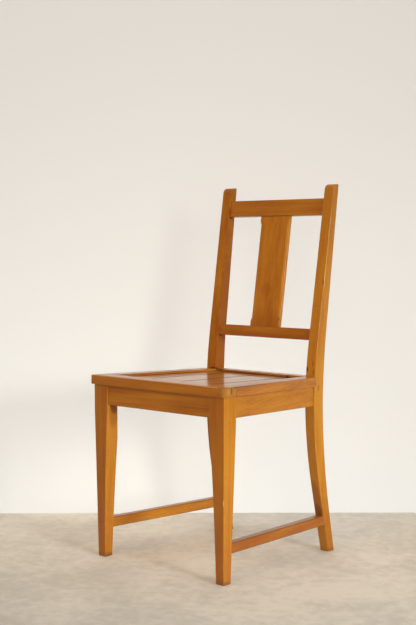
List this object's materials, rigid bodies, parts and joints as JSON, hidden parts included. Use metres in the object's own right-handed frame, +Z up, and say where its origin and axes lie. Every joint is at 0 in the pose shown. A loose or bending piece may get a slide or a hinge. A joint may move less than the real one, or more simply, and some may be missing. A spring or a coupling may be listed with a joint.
{
  "type": "wooden side chair",
  "caption": "Varnished wooden side chair with tapered legs, a framed plank seat, a raked back with a flat splat, and a low stretcher on each side.",
  "frame": {"origin": "on the floor, under the middle of the chair's box", "axes": "+Z up, +Y from the front of the seat to its back, +X to the right as seen from the front"},
  "size_m": [0.4374, 0.453, 0.898],
  "materials": {
    "varnished_wood": "satin gloss varnish, honey brown, worn along its edges",
    "seat_frame_wood": "satin gloss varnish, rubbed through to grey end grain at one front corner",
    "seat_board_wood": "glossy varnish, honey brown",
    "block_wood": "sawn, unvarnished",
    "screw_steel": "dull zinc"
  },
  "bodies": {
    "root": {"front_leg_left": "varnished_wood", "front_leg_right": "varnished_wood", "back_post_left": "varnished_wood", "back_post_right": "varnished_wood", "front_apron": "varnished_wood", "back_apron": "varnished_wood", "side_apron_left": "varnished_wood", "side_apron_right": "varnished_wood", "seat_front_rail": "seat_frame_wood", "seat_back_rail": "seat_frame_wood", "seat_side_rail_left": "seat_frame_wood", "seat_side_rail_right": "seat_frame_wood", "seat_board_1": "seat_board_wood", "seat_board_2": "seat_board_wood", "seat_board_3": "seat_board_wood", "seat_board_4": "seat_board_wood", "crest_rail": "varnished_wood", "lower_back_rail": "varnished_wood", "splat": "varnished_wood", "stretcher_left": "varnished_wood", "stretcher_right": "varnished_wood", "corner_block_front_left": "block_wood", "corner_block_front_right": "block_wood", "corner_block_back_left": "block_wood", "corner_block_back_right": "block_wood", "seat_screws": "screw_steel"}
  },
  "joints": []
}
